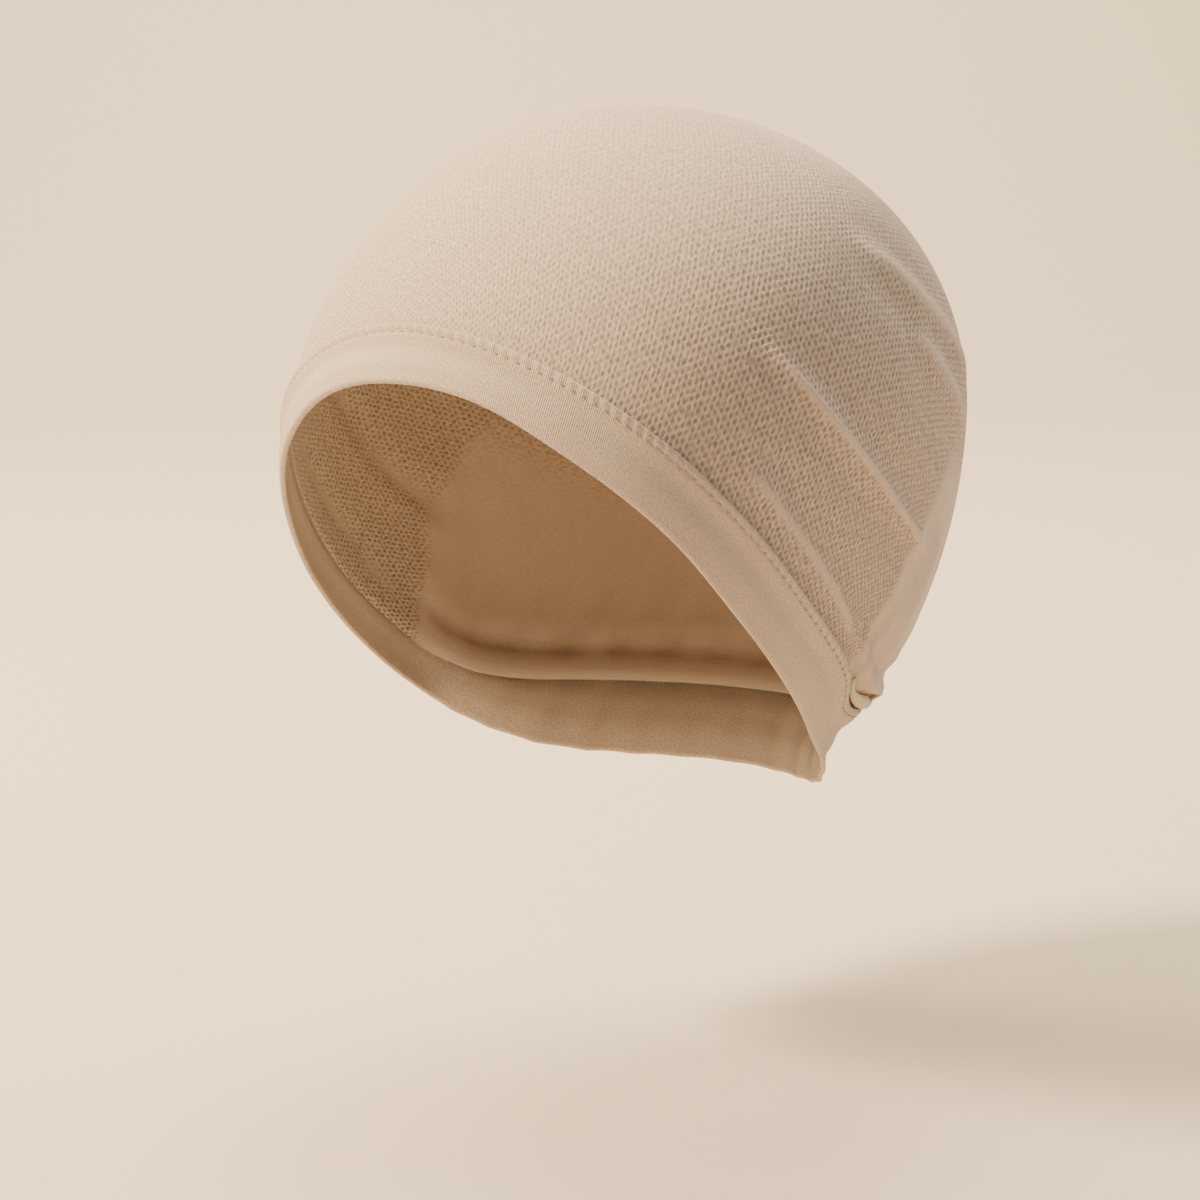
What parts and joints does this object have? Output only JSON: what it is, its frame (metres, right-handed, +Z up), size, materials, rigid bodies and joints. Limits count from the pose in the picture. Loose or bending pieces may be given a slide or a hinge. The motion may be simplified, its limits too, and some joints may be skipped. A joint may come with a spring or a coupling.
{
  "type": "wig cap",
  "caption": "Stretch mesh wig cap in its worn form: an open knit dome with a smooth knit band round its sloping edge, gathered onto a soft elastic at the nape.",
  "frame": {"origin": "the middle of the worn form, at its widest girth, which is the middle of the head that fills it", "axes": "+Z up, +Y from the face opening to the nape, +X to the wearer's left, +Y along the longest extent and +X along the shortest"},
  "size_m": [0.166, 0.1932, 0.1796],
  "materials": {
    "stretch_mesh": "beige warp-knit stretch mesh with small staggered holes",
    "knit_band": "smooth beige stretch knit, folded and topstitched",
    "soft_elastic": "pale soft elastic"
  },
  "bodies": {
    "root": {"crown": "stretch_mesh", "band": "knit_band", "nape_elastic": "soft_elastic"}
  },
  "joints": []
}
